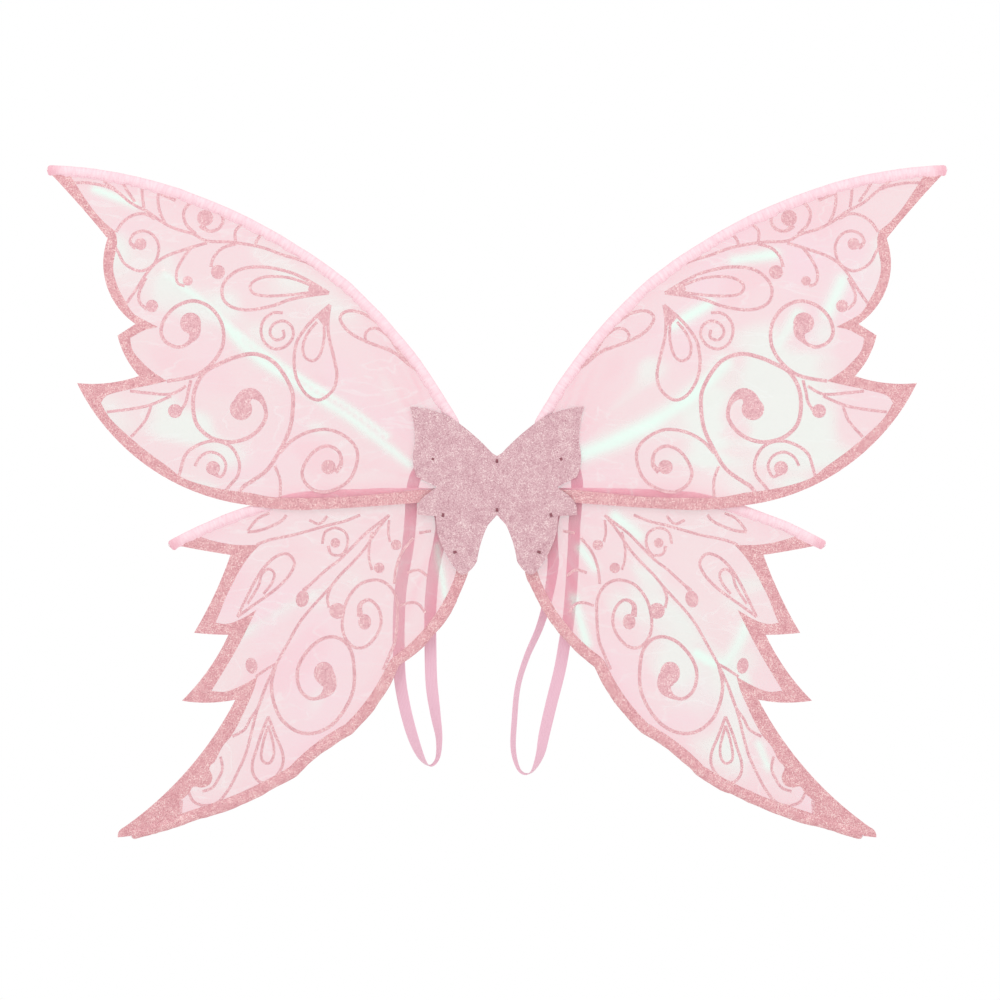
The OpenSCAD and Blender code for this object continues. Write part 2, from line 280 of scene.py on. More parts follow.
def ring_cells(rings, sides):
    """Four-cornered cells between each ring of points and the next, with each cell's ring and place
    in the ring."""
    i, j = [net.ravel() for net in np.meshgrid(np.arange(rings - 1), np.arange(sides), indexing="ij")]
    k = (j + 1) % sides
    return i, j, np.stack([i * sides + j, i * sides + k, (i + 1) * sides + k, (i + 1) * sides + j], 1)


def build(name, points, polygons, uv=None, material=None, crease=None):
    """Makes a mesh piece in metres from point and polygon arrays, shaded smooth.
    polygons is a list of index arrays, one for each number of corners; uv goes corner by corner."""
    mesh = bpy.data.meshes.new(name)
    counts = np.concatenate([np.full(len(p), p.shape[1]) for p in polygons])
    corners = np.concatenate([p.ravel() for p in polygons]).astype(np.int32)
    mesh.vertices.add(len(points))
    mesh.vertices.foreach_set("co", np.asarray(points, np.float32).ravel())
    mesh.loops.add(len(corners))
    mesh.loops.foreach_set("vertex_index", corners)
    mesh.polygons.add(len(counts))
    mesh.polygons.foreach_set("loop_start", (np.cumsum(counts) - counts).astype(np.int32))
    mesh.polygons.foreach_set("use_smooth", np.ones(len(counts), bool))
    if uv is not None:
        mesh.uv_layers.new(name="run").data.foreach_set("uv", uv.astype(np.float32).ravel())
    mesh.update(calc_edges=True)
    if crease:
        mesh.set_sharp_from_angle(angle=np.radians(crease))
    piece = bpy.data.objects.new(name, mesh)
    bpy.context.scene.collection.objects.link(piece)
    if material:
        mesh.materials.append(material)
    return piece


def tinted(piece, name, values):
    """Keeps a value from 0 to 1 at each point of a piece, for its material to read."""
    layer = piece.data.attributes.new(name, "FLOAT", "POINT")
    layer.data.foreach_set("value", np.clip(values, 0, 1).astype(np.float32))


def shade_kept(material, name):
    """Reads back the values that tinted() kept at the points of a piece."""
    return add(material, "Attribute", attribute_name=name).outputs["Fac"]


def middle_depth(node):
    """How far back the middle of a CAD node lies, in millimetres."""
    low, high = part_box(node)
    return (low.y + high.y) / 2 / mm


def swept(centre, across, through, wide, deep):
    """A closed tube: ring i has its centre plus wide[i, j] across and deep[i, j] through it, and
    a fan closes each end on the centre. Returns the points, the polygons and the corners' UV,
    which is (metres round the ring, metres along the run)."""
    rings, sides = wide.shape
    skin = centre[:, None] + wide[..., None] * across[:, None] + deep[..., None] * through[:, None]
    points = np.vstack([skin.reshape(-1, 3), centre[:1], centre[-1:]])
    i, j, quads = ring_cells(rings, sides)
    s = np.arange(sides)
    ends = np.vstack([
        np.stack([(s + 1) % sides, s, np.full(sides, rings * sides)], 1),
        np.stack([s, (s + 1) % sides, np.full(sides, rings * sides + 1)], 1),
    ])
    ends[sides:, :2] += (rings - 1) * sides
    run, middle_ring = run_along(centre), skin[rings // 2]
    girth = run_along(np.vstack([middle_ring, middle_ring[:1]]))
    uv = np.vstack([
        np.stack([girth[[j, j + 1, j + 1, j]].T, run[[i, i, i + 1, i + 1]].T], -1).reshape(-1, 2),
        np.zeros((ends.size, 2)),
    ])
    a, b, c, d = points[quads].transpose(1, 0, 2)
    if np.sum(a * np.cross(b, c)) + np.sum(a * np.cross(c, d)) < 0:
        quads, ends = quads[:, ::-1], ends[:, ::-1]
        uv[: quads.size] = uv[: quads.size].reshape(-1, 4, 2)[:, ::-1].reshape(-1, 2)
    return points, [quads, ends], uv


def casing(name, edge, depth_mm, side, seed, material, bunched):
    """A cloth casing round a wired edge. Its section is an oval with a thin flange towards the film:
    across = half width x cos a + flange x exp(-(a/0.45)^2), through = half depth x sin a.
    Noise round and along it makes the puckers, and the ends close on a quarter circle."""
    line = evenly(moved_in(arcs(edge), sleeve_width / 2), 1.6)
    inward = left_of(line)
    if edge[0][0] < edge[-1][0]:  # every run starts at its outer end
        line, inward = line[::-1], inward[::-1]
    run = run_along(line)
    a = (np.arange(casing_sides) / casing_sides * 2 - 1) * np.pi
    along, round_it = np.meshgrid(run, a, indexing="ij")
    close = np.minimum(along, run[-1] - along)
    shut = np.sqrt(np.clip(1 - (1 - np.clip(close / closed_end, 0, 1)) ** 2, 0.02, 1))
    pucker = 1 + 0.6 * bunched * noise(along / 6, round_it * 1.6 + 20, seed)
    pucker += bunched * noise(along / 17, round_it * 0.8 + 40, seed + 1)
    sway = bunched * 5 * noise(along / 22, 0 * along, seed + 2) * eased(close, 5, 30)
    seam = flange * np.exp(-((round_it / 0.45) ** 2)) * (1 + 0.35 * noise(along / 4, 0 * along, seed + 3))
    wide = (sleeve_width / 2 * np.cos(round_it) * pucker + seam + sway) * shut
    deep = sleeve_depth / 2 * np.sin(round_it) * pucker * shut
    centre = np.stack([side * line[:, 0], np.full(len(line), depth_mm), line[:, 1]], 1)
    across = np.stack([side * inward[:, 0], 0 * run, inward[:, 1]], 1)
    through = np.tile([0.0, 1.0, 0.0], (len(line), 1))
    points, polygons, uv = swept(centre * mm, across, through, wide * mm, deep * mm)
    piece = build(name, points, polygons, uv, material, crease=55)
    # Deeper pink within the gathered ends, and along the two edges of the section that lie in the wing's
    # plane.
    tip = np.maximum(eased(gathered_end - along, 0, gathered_end), 0.4 * np.abs(np.cos(round_it)) ** 4)
    tinted(piece, "tip", np.r_[tip.ravel(), 1.0, 1.0])
    return piece


def satin_cloth():
    """Thin pale pink satin: fine twill across it, soft gathers along it, deeper pink at the gathered ends and
    along the two edges of its section that lie in the wing's plane.
    """
    cloth = finish_of("pink satin", Sheen_Weight=0.25, Sheen_Roughness=0.4, Specular_IOR_Level=0.35)
    run = add(cloth, "UVMap", uv_map="run").outputs["UV"]
    twill = add(cloth, "TexWave", {"Vector": run, "Scale": 520.0, "Distortion": 0.6},
                bands_direction="DIAGONAL")
    gather = add(cloth, "Mapping", {"Vector": run, "Scale": (90.0, 420.0, 1.0)})
    gather = add(cloth, "TexNoise", {"Vector": gather.outputs["Vector"], "Scale": 1.0, "Detail": 4.0})
    gather = gather.outputs["Fac"]
    plain = ramp(cloth, gather, [
        (0.3, swatch(247, 207, 217)), (0.5, swatch(250, 217, 225)), (0.72, swatch(252, 227, 233))])
    bunch = ramp(cloth, gather, [(0.3, swatch(233, 168, 182)), (0.7, swatch(244, 196, 207))])
    feed(cloth, "Base Color", mixed(cloth, shade_kept(cloth, "tip"), plain, bunch))
    roughened(cloth, 0.42, 0.6, 0.006)
    height = sums(cloth, "ADD", sums(cloth, "MULTIPLY", gather, 3.0), twill.outputs["Fac"])
    bumped(cloth, height, 0.00012, 0.4)
    return cloth


def glitter(name, stops, flake, tilt, metallic=0.15):
    """Fine glitter: every flake is a cell of its own size, with its own shade and its own tilt. The palest
    stop of each ramp is a painted sparkle on a few flakes.
    """
    made = finish_of(name, Metallic=metallic, Specular_IOR_Level=0.6)
    flakes = add(made, "TexVoronoi", {"Vector": place_on(made), "Scale": 1 / flake, "Randomness": 1.0})
    shade = add(made, "SeparateColor", {"Color": flakes.outputs["Color"]})
    patchy = sums(made, "MULTIPLY", grain_on(made, 1 / (14 * flake), 5.0), 0.7)
    both = sums(made, "SUBTRACT", sums(made, "ADD", shade.outputs["Red"], patchy), 0.35)
    feed(made, "Base Color", ramp(made, both, stops))
    lean = add(made, "VectorMath", {0: flakes.outputs["Color"], 1: (0.5, 0.5, 0.5)}, operation="SUBTRACT")
    lean = add(made, "VectorMath", {0: lean.outputs[0], 3: tilt}, operation="SCALE")
    facing = add(made, "NewGeometry").outputs["Normal"]
    lean = add(made, "VectorMath", {0: facing, 1: lean.outputs[0]}, operation="ADD")
    lean = add(made, "VectorMath", {0: lean.outputs[0]}, operation="NORMALIZE")
    feed(made, "Normal", lean.outputs[0])
    feed(made, "Roughness", spread(made, shade.outputs["Green"], 0.25, 0.6))
    return made


satin = satin_cloth()
flake_size = 0.0006
# The last, near-white stop is a painted sparkle on the palest flakes; the other stops are the glitter's own
# tones.
border_print = glitter("rose border print", [
    (0.05, swatch(198, 132, 140)), (0.3, swatch(217, 155, 161)), (0.55, swatch(225, 165, 170)),
    (0.8, swatch(232, 180, 183)), (0.97, swatch(250, 222, 218))], flake_size, 0.45)
upper_y = middle_depth("right_upper_film")
lower_y = middle_depth("right_lower_film")
covered = {"leading": (leading_edge, upper_y, satin), "middle": (middle_edge, lower_y, satin),
           "tail": (tail_edge, lower_y, border_print)}
for side, way_out in SIDES.items():
    for seed, (name, (edge, depth, cloth)) in enumerate(covered.items()):
        bunched = 0.14 if name == "tail" else 0.05
        sleeve = casing(
            f"{side}_{name}_casing", edge, depth, way_out, 10 * seed + 5 + way_out, cloth, bunched)
        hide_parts(f"{side}_{name}_sleeve")
        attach(sleeve, f"{side}_wing")

# ---- Films and their print ----
# Each wing is cut from thin pearl film, and a dusty-rose glitter is printed on it: a wide border
# along the scallops and thin scrolls inside it. The film's wired sides run into the casings.
film_gauge = 0.25
print_gauge = 0.4
hem_width = 11.5
patch_reach = 84  # the patch covers the film up to here
upper_outer_edge = [
    (82, -17, 0.5), (190, -24, 1.5), (250, -19, 26.5), (420, 103, -3.5), (358, 110, 3), (379.5, 150.5, 0),
    (361.5, 162, 15.5), (389.5, 247.5, -1), (447, 313, 0)
]
lower_outer_edge = [
    (380, -352, 2), (374, -342, -10.3), (262, -214, 2.5), (315.5, -215, -3.6), (269, -149, 0.5),
    (303.5, -147, -2.2), (267, -69, 0.5), (325, -58.5, 0)
]
upper_root = [(42, 52), (32, 18), (32, -13)]


def smoothed(points):
    """Catmull and Rom's cubic through the points, in ten steps from each one to the next. It goes
    through every column alike."""
    p = np.array(points, float)
    before, after = np.vstack([p[:1], p[:-2]]), np.vstack([p[2:], p[-1:]])
    here, there = p[:-1], p[1:]
    t = (np.arange(10) / 10)[:, None, None]
    fine = here + t / 2 * (there - before) + t**2 / 2 * (2 * before - 5 * here + 4 * there - after)
    fine = fine + t**3 / 2 * (3 * here - before - 3 * there + after)
    return np.vstack([fine.transpose(1, 0, 2).reshape(-1, p.shape[1]), p[-1:]])


def curve(points, step=2.2):
    """A smooth line through the points, with even steps."""
    return evenly(smoothed(points), step)


def line_of(points, wide=2.9, end_wide=None, from_share=0.6):
    """A printed line as a chain of four-cornered cells: half its width lies on each side of a curve.
    It keeps its width up to a share of its length and then changes smoothly to end_wide."""
    run = curve(points)
    share = np.linspace(0, 1, len(run))
    width = wide + ((end_wide or wide) - wide) * eased(share, from_share, 1)
    aside = left_of(run) * width[:, None] / 2
    left, right = run + aside, run - aside
    return list(np.stack([right[:-1], right[1:], left[1:], left[:-1]], 1))


def dot_of(x, z, wide, tall=None, lean=0.0):
    """A printed dot: an ellipse with those half sizes, leaned over by an angle in degrees."""
    a = np.linspace(0, 2 * np.pi, 20, endpoint=False)
    u, v = wide * np.cos(a), (tall or wide) * np.sin(a)
    c, s = np.cos(np.radians(lean)), np.sin(np.radians(lean))
    return [np.stack([x + u * c - v * s, z + u * s + v * c], 1)]


def band_of(stretches, far_points):
    """A border band: curves that meet at corners make its inner side, and far points lie outside
    the film, where the cut trims it."""
    inner = np.vstack([curve(stretch)[:-1] for stretch in stretches] + [[stretches[-1][-1]]])
    return [np.vstack([inner, np.array(far_points, float)])]


def upper_border():
    """The inner side of the upper wing's border, from the tip round the scallops to the root."""
    return band_of([
        [(430, 316), (422, 303), (406, 279), (393, 264), (382, 255)],
        [(382, 255), (380, 243), (384, 219), (380, 201), (373, 187), (364, 173), (351, 165), (339, 159)],
        [(339, 159), (352, 156), (367, 148)],
        [(367, 148), (364, 135), (352, 121), (341, 112), (330, 105)],
        [(330, 105), (347, 101), (366, 97), (389, 91), (396, 83)],
        [(396, 83), (387, 68), (372, 53), (352, 36), (330, 20), (314, 8), (290, 0), (270, -4), (246, -7)],
        [(246, -7), (225, -11), (200, -12), (153, -11), (107, -7), (80, -4)],
    ], [(60, -4), (60, -60), (480, -60), (480, 400), (430, 400)])


def upper_scrolls():
    """The scrolls inside the upper wing, in millimetres outwards and up."""
    marks = []
    for points in (
        # the main stem and its branches
        [(176, 216), (187, 222), (200, 227), (214, 231), (233, 238), (252, 242), (269, 244), (290, 245),
         (304, 252), (321, 257), (335, 264), (349, 274), (366, 283), (384, 297), (408, 303), (426, 303)],
        [(290, 243), (307, 238), (332, 229), (347, 217), (360, 198), (371, 182)],
        [(342, 267), (352, 272), (363, 271), (374, 264), (381, 254)],
        # ribs and spikelets up to the leading edge
        [(353, 305), (355, 296), (353, 278)], [(377, 311), (372, 299), (362, 284)],
        [(398, 312), (392, 304), (382, 297)], [(236, 251), (240, 246), (242, 239)],
        [(255, 262), (261, 256), (262, 250), (261, 243)],
        [(338, 297), (339, 286), (337, 274), (332, 263)],
        # fine spiral
        [(214, 173), (224, 173), (233, 166), (236, 155), (232, 143), (222, 137), (211, 140), (204, 149),
         (205, 159), (213, 165), (223, 162), (227, 153), (221, 146), (213, 149), (214, 156)],
        # leaf veins by the long point
        [(311, 100), (326, 92), (349, 93), (367, 95)], [(326, 90), (347, 81), (366, 77), (390, 74)],
        [(346, 80), (352, 65), (366, 49)],
        # short arc on the lower border, and the two small rings' links
        [(222, 20), (217, 6), (217, -11)],
    ):
        marks += line_of(points, 2.9)
    for points, wide, end_wide, dot in (
        # curls that end in a dot: (points, width, end width, dot)
        ([(351, 208), (358, 193), (357, 183), (350, 177)], 3, 4.2, (345, 180, 6.2)),
        ([(261, 242), (274, 238), (283, 229), (286, 219)], 2.9, 3.6, (279, 214, 7)),
        ([(304, 240), (313, 229), (320, 215), (319, 203), (312, 200)], 2.8, 3.2, (309, 205, 4.8)),
        ([(384, 243), (379, 234), (372, 222), (357, 215), (343, 222), (338, 238), (343, 250), (353, 255),
          (363, 252), (367, 244), (361, 238)], 2.8, 5, (356.5, 242, 6)),
        ([(301, 252), (311, 262), (313, 275), (304, 285), (293, 287), (280, 279), (274, 266), (279, 257),
          (289, 255), (296, 261)], 3.1, 6, (292, 268, 8)),
        ([(330, 105), (311, 108), (297, 113), (283, 125), (274, 142), (275, 162), (286, 178), (303, 185),
          (320, 180), (332, 168), (336, 154), (331, 144), (320, 139), (310, 142), (303, 151), (305, 161)],
         3.5, 17, (306.5, 163, 10.5)),
        ([(259, -8), (253, 0), (245, 5), (229, 17), (217, 36), (207, 58), (204, 80), (205, 95), (214, 113),
          (226, 126), (243, 132), (261, 129), (278, 122), (292, 114), (301, 100), (304, 84), (302, 66),
          (295, 55), (283, 47), (266, 44), (250, 48), (238, 57), (231, 70), (234, 84), (243, 92), (251, 90),
          (256, 82)], 3.9, 16, (256, 77, 11.2)),
        ([(320, 3), (317, 14), (311, 32), (297, 42), (281, 45), (266, 39), (258, 25), (259, 11), (267, 1),
          (273, -7)], 3.1, 3.3, None),
        ([(302, 20), (297, 29), (287, 34), (276, 30), (271, 20), (276, 9), (283, 14)], 2.8, 7, (284, 18, 7)),
        ([(217, 33), (207, 44), (194, 52), (180, 56), (166, 56), (151, 49), (141, 38), (140, 24), (147, 7),
          (161, -3), (177, -6), (190, 1), (195, 13), (190, 26), (181, 36), (169, 40), (158, 34), (156, 22),
          (162, 14)], 3.2, 5, (168.5, 19, 7.2)),
        ([(306, 106), (309, 94), (311, 84), (316, 76)], 3, 3.6, (322, 75, 7)),
    ):
        marks += line_of(points, wide, end_wide, 0.91)
        marks += dot_of(*dot) if dot else []
    for outer, inner, wedge in (
        # teardrops: outer line, inner line, and the solid wedge at the tip
        ([(167, 181), (169, 165), (168, 149), (163, 128), (160, 111), (164, 96), (177, 86), (190, 91),
          (200, 107), (203, 125), (200, 144), (192, 157), (180, 170), (167, 181)],
         [(173, 163), (173, 146), (177, 131), (184, 125), (192, 129), (194, 140), (189, 153), (180, 164)],
         [(167, 181), (168, 160), (174, 161), (181, 170)]),
        ([(168, 193), (190, 206), (208, 214), (234, 219), (258, 216), (273, 203), (274, 188), (265, 179),
          (248, 176), (225, 180), (208, 186), (190, 190), (168, 193)],
         [(182, 199), (207, 208), (232, 209), (246, 202), (244, 193), (230, 190), (207, 191), (184, 194)],
         [(168, 193), (186, 203), (189, 197), (187, 191)]),
        ([(79, 115), (97, 133), (113, 157), (133, 172), (149, 175), (157, 168), (149, 155), (132, 145),
          (104, 134), (90, 123), (79, 115)],
         [(130, 143), (132, 151), (127, 157), (118, 157), (108, 149), (97, 137), (86, 123)],
         [(79, 115), (98, 132), (112, 141), (104, 134)]),
    ):
        marks += line_of(outer, 3.1) + line_of(inner, 2.8) + [np.array(wedge, float)]
    marks += [np.array([(320, 288), (338, 296), (337, 291), (322, 284)], float)]
    for blob in ((132, -22, 6, 4), (96, -16, 6, 4), (82, -12, 5, 4)):
        marks += dot_of(*blob)
    return marks


def lower_border():
    """The inner side of the lower wing's border, from the side point round the scallops to the
    tail, and back to the root along the casing as an even hem."""
    hem = moved_in(evenly(arcs(tail_edge), 3), hem_width)
    hem = hem[(hem[:, 0] < 318) & (hem[:, 0] > 34)][::-1]
    return band_of([
        [(327, -44), (309, -46), (297, -51), (280, -56), (260, -59), (238, -59)],
        [(238, -59), (248, -70), (257, -83), (265, -98), (272, -112), (277, -125), (282, -137)],
        [(282, -137), (270, -138), (256, -133), (241, -124)],
        [(241, -124), (252, -146), (262, -165), (275, -187), (286, -205)],
        [(286, -205), (272, -206), (256, -200), (240, -191)],
        [(240, -191), (244, -205), (251, -221), (258, -236), (266, -250), (275, -261), (281, -273)],
        [(281, -273), (288, -282), (285, -291), (288, -299), (296, -302), (304, -301), (309, -308),
         (318, -316)],
        [(318, -316), tuple(hem[0])],
    ], [*hem[1:], (10, -60), (10, -420), (450, -420), (450, -44)])


def lower_scrolls():
    """The scrolls inside the lower wing, in millimetres outwards and up."""
    marks = []
    for points in (
        # upper stem, main stem, and the two tail stems
        [(137, -29), (152, -35), (168, -39), (186, -44), (204, -49), (228, -54), (241, -59)],
        [(108, -29), (120, -44), (132, -62), (144, -76), (156, -88), (166, -100), (175, -110), (186, -122),
         (198, -137), (210, -158), (220, -176), (226, -188), (233, -204), (241, -227), (247, -251),
         (252, -269), (260, -287), (269, -304), (280, -317), (293, -320), (304, -316), (309, -306)],
        [(224, -185), (231, -199), (239, -221), (247, -233), (253, -244), (265, -251)],
        [(221, -178), (230, -183), (242, -191)],
        # ring by the tail, window line, and the half-hidden curl
        [(277, -271), (275, -283), (279, -293), (285, -302), (295, -306)], [(316, -315), (317, -329)],
        [(170, -30), (178, -38), (188, -34)],
        # arches by the hem
        [(70, -90), (79, -84), (90, -87)], [(72, -127), (79, -118), (88, -117), (97, -120)],
        [(66, -45), (78, -47)], [(84, -52), (95, -66), (101, -82), (103, -98)],
    ):
        marks += line_of(points, 2.8)
    for points, wide, end_wide, dot in (
        ([(109, -30), (118, -37), (131, -47), (144, -60), (158, -74), (170, -83), (182, -94), (194, -105)],
         2.8, 4.5, (195, -113, 6.4, 8.6, 15)),
        ([(166, -100), (170, -112), (168, -122)], 2.8, 3.6, (160, -125, 8)),
        ([(108, -34), (109, -46), (107, -56)], 2.5, 3, (101, -59, 5.2)),
        ([(125, -46), (128, -60), (128, -74), (125, -84)], 2.5, 3, (118, -82, 5.2)),
        ([(175, -58), (172, -46), (161, -42), (151, -48), (150, -60), (156, -69), (166, -68), (169, -60)],
         2.7, 3.4, (162, -57, 4.8)),
        ([(114, -184), (108, -170), (102, -154), (100, -130), (101, -112), (109, -99), (122, -94),
          (138, -99), (150, -114), (155, -134), (153, -150), (144, -161), (132, -161), (121, -150),
          (116, -136), (119, -122), (128, -114), (137, -119), (137, -131)], 3, 6, (132.5, -136, 6.4, 7.8)),
        ([(222, -180), (226, -198), (224, -215), (217, -232), (204, -244), (190, -248), (175, -245),
          (162, -236), (151, -221), (144, -204), (143, -185), (146, -166), (154, -155), (166, -151),
          (180, -156), (192, -168), (199, -181), (200, -194), (196, -206), (187, -213), (176, -211),
          (168, -202), (171, -191)], 3.4, 18, (173.5, -187.5, 10, 11.5)),
    ):
        marks += line_of(points, wide, end_wide, 0.91)
        marks += dot_of(*dot)
    marks += dot_of(246, -180, 5.8, 8, -12) + dot_of(286, -272, 5, 8, 30)
    for outer, inner in (
        # teardrops: outer line and inner line
        ([(250, -46), (240, -45), (228, -41), (216, -35), (211, -29)], [(250, -45), (240, -33), (228, -27)]),
        ([(260, -131), (245, -120), (232, -111), (219, -101), (208, -89), (203, -77), (210, -68),
          (222, -71), (233, -81), (241, -93), (248, -106), (260, -131)],
         [(234, -108), (226, -98), (223, -88), (229, -83), (236, -89), (239, -100), (250, -118)]),
        ([(229, -231), (221, -252), (215, -267), (215, -280), (223, -292), (236, -297), (244, -289),
          (245, -277), (241, -264), (236, -248), (229, -231)],
         [(229, -240), (224, -259), (224, -271), (229, -278), (236, -273), (234, -256), (229, -240)]),
    ):
        marks += line_of(outer, 2.9) + line_of(inner, 2.7)
    return marks


def cut_sheet(outline, groups, pitch):
    """Cuts a flat sheet so that every printed shape's edge is an edge of its mesh as well.
    A net of points in staggered rows fills the outline and Delaunay's rule joins them. Returns the
    points, the triangles inside the outline, and for each group of shapes which triangles it covers."""
    low, high = outline.min(0), outline.max(0)
    columns, rows = np.arange(low[0], high[0], pitch), np.arange(low[1], high[1], pitch * 0.87)
    net = np.stack(np.meshgrid(columns, rows), -1)
    net[1::2, :, 0] += pitch / 2
    net = net.reshape(-1, 2)
    shapes = [outline] + [shape for group in groups for shape in group]
    drawn = np.vstack(shapes)
    cell = lambda p: np.floor(p / pitch * 2).astype(int) @ [100003, 1]  # one number for each small square
    net = net[~np.isin(cell(net), cell(drawn))]
    ends = np.cumsum([len(shape) for shape in shapes])
    rings = []
    for last, shape in zip(ends, shapes):
        x, z = shape.T
        turned = np.sum(x * np.roll(z, -1) - np.roll(x, -1) * z) < 0
        ring = list(range(last - len(shape), last))
        rings.append(ring[::-1] if turned else ring)
    every = [Vector(p) for p in np.vstack([drawn, net]).tolist()]
    points, _, faces, _, _, owners = delaunay_2d_cdt(every, [], rings, 1, 1e-3)
    inside = np.array([0 in owner for owner in owners])
    faces = np.array([f for f, kept in zip(faces, inside) if kept])
    owners = [owner for owner, kept in zip(owners, inside) if kept]
    used, faces = np.unique(faces, return_inverse=True)
    points = np.array([tuple(p) for p in points])[used]
    limits = np.cumsum([1] + [len(group) for group in groups])
    covers = [np.array([any(a <= i < b for i in owner) for owner in owners], bool)
              for a, b in zip(limits, limits[1:])]
    return points, faces.reshape(-1, 3), covers


def away_from(points, line):
    """Distance of each point from a line of short stretches: the least over all stretches."""
    start, step = line[:-1], np.diff(line, axis=0)
    to = points[:, None] - start
    t = np.clip(np.einsum("ijk,jk->ij", to, step) / np.einsum("jk,jk->j", step, step), 0, 1)
    return np.linalg.norm(to - t[..., None] * step, axis=2).min(1)


def fold_height(x, z, root, seed, streaks):
    """How far the film's folds stand out, in millimetres. Long folds fan out from the wing's root as
    noise over angle and reach, sharp creases are where a second noise crosses zero, dents are plain
    noise, and each drawn streak is a ridge with a bell-shaped section."""
    reach, angle = np.hypot(x - root[0], z - root[1]), np.arctan2(z - root[1], x - root[0])
    tall = 1.5 * noise(angle * 6 + 9, reach / 190, seed) + 0.5 * noise(angle * 21 + 30, reach / 100, seed + 1)
    tall += 0.7 * noise(x / 42 + 20, z / 42 + 20, seed + 2)
    crease = 1 - np.abs(noise(angle * 4.5 + 20, reach / 260, seed + 3))
    tall += 1.5 * crease**10
    for points, wide, peak in streaks:
        line = curve(points, 12)
        tall += peak * np.exp(-((away_from(np.stack([x, z], 1), line) / wide) ** 2))
    return tall


def wing_piece(name, flat, faces, height, depth, side, gauge, material):
    """Stands a flat cut up in depth by its folds, mirrors it for the left, and gives it a gauge: the
    same points again behind the first, and a rim between the two along every edge used once."""
    used, faces = np.unique(faces, return_inverse=True)
    faces = faces.reshape(-1, 3)
    faces = faces if side > 0 else faces[:, ::-1]
    front = np.stack([side * flat[used, 0], depth + height[used] - gauge / 2, flat[used, 1]], 1)
    count = len(used)
    edges = faces[:, [[0, 1], [1, 2], [2, 0]]].reshape(-1, 2)
    edges = edges[~np.isin(edges @ [count, 1], edges @ [1, count])]  # no twin runs the other way
    a, b = edges.T
    rim = np.stack([b, a, a + count, b + count], 1)
    skin = np.vstack([faces, faces[:, ::-1] + count])
    points = np.vstack([front, front + [0, gauge, 0]])
    return build(name, points * mm, [skin, rim], material=material, crease=50), np.tile(used, 2)


def flat_area(points, faces):
    """Area of a flat triangulated cut, by half the cross product of two sides."""
    a, b, c = points[faces].transpose(1, 0, 2)
    u, v = b - a, c - a
    return float(np.abs(u[:, 0] * v[:, 1] - u[:, 1] * v[:, 0]).sum() / 2)


def pearl_film():
    """Pale pink film with a pearl coat, and light and shade painted into its colour: slopes that face up and
    outwards and the drawn fold streaks turn to white and mint as a painted sheen and highlight, slopes that
    face away turn a deeper pink as painted shade, a band over the middle casing is painted a deeper pink to
    stand in for the lit casing seen through the film, and thin white-mint lines are painted crease
    highlights. The gathers by the roots and casings turn a deeper pink, and faint cloudy tints drift between."""
    film = finish_of("pearl film", Alpha=0.34, Roughness=0.16, Specular_IOR_Level=0.6,
                     Coat_Weight=0.3, Coat_Roughness=0.08, Thin_Film_Thickness=420.0, Thin_Film_IOR=1.45)
    place = place_on(film)
    body = ramp(film, grain_on(film, 7.0, 3.0, 0.6), [
        (0.3, swatch(238, 186, 203)), (0.45, swatch(236, 190, 199)), (0.6, swatch(234, 196, 201)),
        (0.75, swatch(236, 204, 208))])
    # Painted sheen: the colour goes to white-mint where the kept sheen value is high.
    shine = mixed(film, shade_kept(film, "painted_sheen"), body, swatch(218, 250, 236))
    # Deeper pink by gather: real gathers by the roots and casings, plus painted shade on folds that face away
    # and a painted band over the middle casing.
    deep = mixed(film, shade_kept(film, "gather"), shine, swatch(240, 150, 172))
    across = add(film, "Mapping", {"Vector": place, "Scale": (9.0, 9.0, 26.0), "Rotation": (0, 0.5, 0)})
    crease_highlight_noise = add(film, "TexNoise", {"Vector": across.outputs["Vector"], "Scale": 1.0, "Detail": 4.0,
                                     "Distortion": 1.0})
    # Painted highlight: thin white-mint lines where the noise crosses its middle, standing in for light on
    # fine creases.
    line = ramp(film, crease_highlight_noise.outputs["Fac"], [
        (0.0, (0, 0, 0, 1)), (0.488, (0, 0, 0, 1)), (0.5, (0.3, 0.3, 0.3, 1)), (0.515, (0, 0, 0, 1))])
    feed(film, "Base Color", mixed(film, line, deep, swatch(236, 246, 243)))
    stretched = add(film, "Mapping", {"Vector": place, "Scale": (60.0, 60.0, 140.0), "Rotation": (0, 0.7, 0)})
    crinkle = add(film, "TexNoise", {"Vector": stretched.outputs["Vector"], "Scale": 1.0, "Detail": 4.0})
    bumped(film, crinkle.outputs["Fac"], 0.0006, 0.35)
    return film


film = pearl_film()
# The last, near-white stop is a painted sparkle on the palest flakes; the other stops are the glitter's own
# tones.
scroll_print = glitter("rose scroll print", [
    (0.05, swatch(206, 148, 157)), (0.35, swatch(224, 170, 177)), (0.6, swatch(230, 179, 185)),
    (0.85, swatch(236, 191, 195)), (0.97, swatch(250, 226, 224))], flake_size, 0.35)
net_pitch = 4.0
leading_line, middle_line, tail_line = [
    evenly(moved_in(arcs(edge), sleeve_width / 2), 6) for edge in (leading_edge, middle_edge, tail_edge)]
casing_lines = {"upper": [leading_line], "lower": [middle_line, tail_line]}
upper_outline = np.vstack([arcs(upper_outer_edge), leading_line, upper_root])
lower_outline = np.vstack([tail_line, arcs(lower_outer_edge), middle_line[:-1]])
lower_outline = lower_outline[lower_outline[:, 0] > 32]
wing_cut = {
    "upper": cut_sheet(upper_outline, [upper_border(), upper_scrolls()], net_pitch),
    "lower": cut_sheet(lower_outline, [lower_border(), lower_scrolls()], net_pitch),
}
